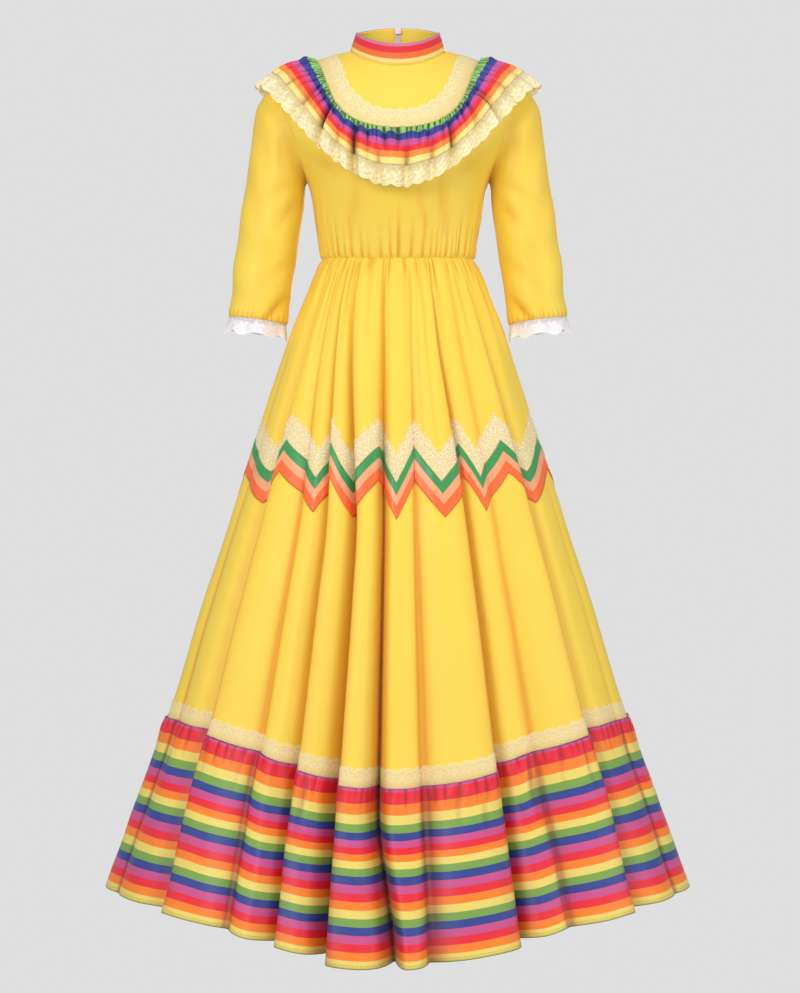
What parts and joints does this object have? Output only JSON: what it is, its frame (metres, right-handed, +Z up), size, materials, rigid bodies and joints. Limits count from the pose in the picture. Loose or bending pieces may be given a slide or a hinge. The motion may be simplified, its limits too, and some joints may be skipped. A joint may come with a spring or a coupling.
{
  "type": "mexican dress",
  "caption": "Long folk-dance dress in its worn, hollow shape: stand collar, gathered striped ruffle, three-quarter sleeves and a full skirt with a striped flounce.",
  "frame": {"origin": "between the wearer's shoulders, at the foot of the neck", "axes": "+Z up, -Y out of the front of the dress, +X towards the wearer's left"},
  "size_m": [0.8728, 0.7346, 1.3495],
  "materials": {
    "yellow_cloth": "satin weave polyester, soft sheen",
    "stripe_cloth": "ribbon-striped satin in repeating bright bands",
    "cream_lace": "floral lace, matt",
    "white_lace": "lace frill, matt",
    "zigzag_ribbon": "woven braid in three stripes",
    "zip_tape": "woven tape",
    "zip_plastic": "satin moulded plastic"
  },
  "bodies": {
    "dress": {"collar": "yellow_cloth", "collar_stripe": "stripe_cloth", "yoke_front": "yellow_cloth", "yoke_back_left": "yellow_cloth", "yoke_back_right": "yellow_cloth", "yoke_lace": "cream_lace", "bodice_front": "yellow_cloth", "bodice_back_left": "yellow_cloth", "bodice_back_right": "yellow_cloth", "sleeve_left": "yellow_cloth", "sleeve_right": "yellow_cloth", "cuff_lace_left": "white_lace", "cuff_lace_right": "white_lace", "ruffle": "stripe_cloth", "ruffle_lace": "cream_lace", "skirt_front": "yellow_cloth", "skirt_back_left": "yellow_cloth", "skirt_back_right": "yellow_cloth", "flounce_front": "stripe_cloth", "flounce_back": "stripe_cloth", "zigzag_lace": "cream_lace", "zigzag_ribbon": "zigzag_ribbon", "skirt_lace": "cream_lace", "zip_tape": "zip_tape", "zip_slider": "zip_plastic"},
    "pull": {"zip_pull": "zip_plastic"}
  },
  "joints": [
    {"name": "pull_hinge", "type": "hinge", "parent": "dress", "child": "pull", "pos_m": [0, 0.061, 0.0415], "axis": [1, 0, 0], "range_deg": [0, 165]}
  ]
}
